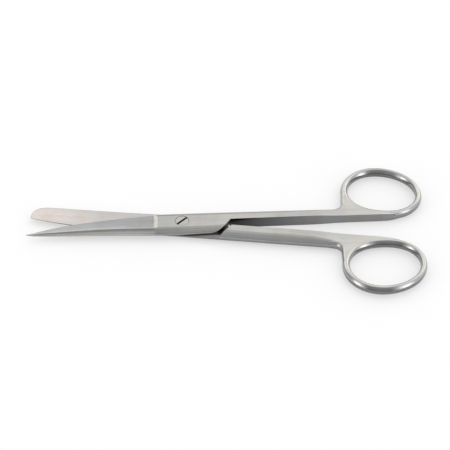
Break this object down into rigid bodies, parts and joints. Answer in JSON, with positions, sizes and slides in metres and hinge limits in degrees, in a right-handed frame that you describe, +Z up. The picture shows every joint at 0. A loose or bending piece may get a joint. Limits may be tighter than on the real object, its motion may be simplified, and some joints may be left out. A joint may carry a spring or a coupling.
{
  "type": "surgical scissors",
  "caption": "Straight operating scissors with one sharp and one blunt hollow-ground blade, a flush slotted pivot screw in a lap joint, and oval finger rings on the shanks.",
  "frame": {"origin": "on the pivot screw's axis, in the flat underside that the scissors lie on", "axes": "+X towards the finger rings along the closed centre line, +Y towards the ring of the sharp half, +Z up, towards the screw head"},
  "size_m": [0.1434, 0.0624, 0.0045],
  "materials": {
    "blade_steel": "satin",
    "screw_steel": "satin"
  },
  "bodies": {
    "blunt": {"blunt_half": "blade_steel", "screw": "screw_steel"},
    "sharp": {"sharp_half": "blade_steel"}
  },
  "joints": [
    {"name": "pivot", "type": "hinge", "parent": "blunt", "child": "sharp", "pos_m": [0, 0, 0.00227], "axis": [0, 0, 1], "range_deg": [-8.7, 81]}
  ]
}
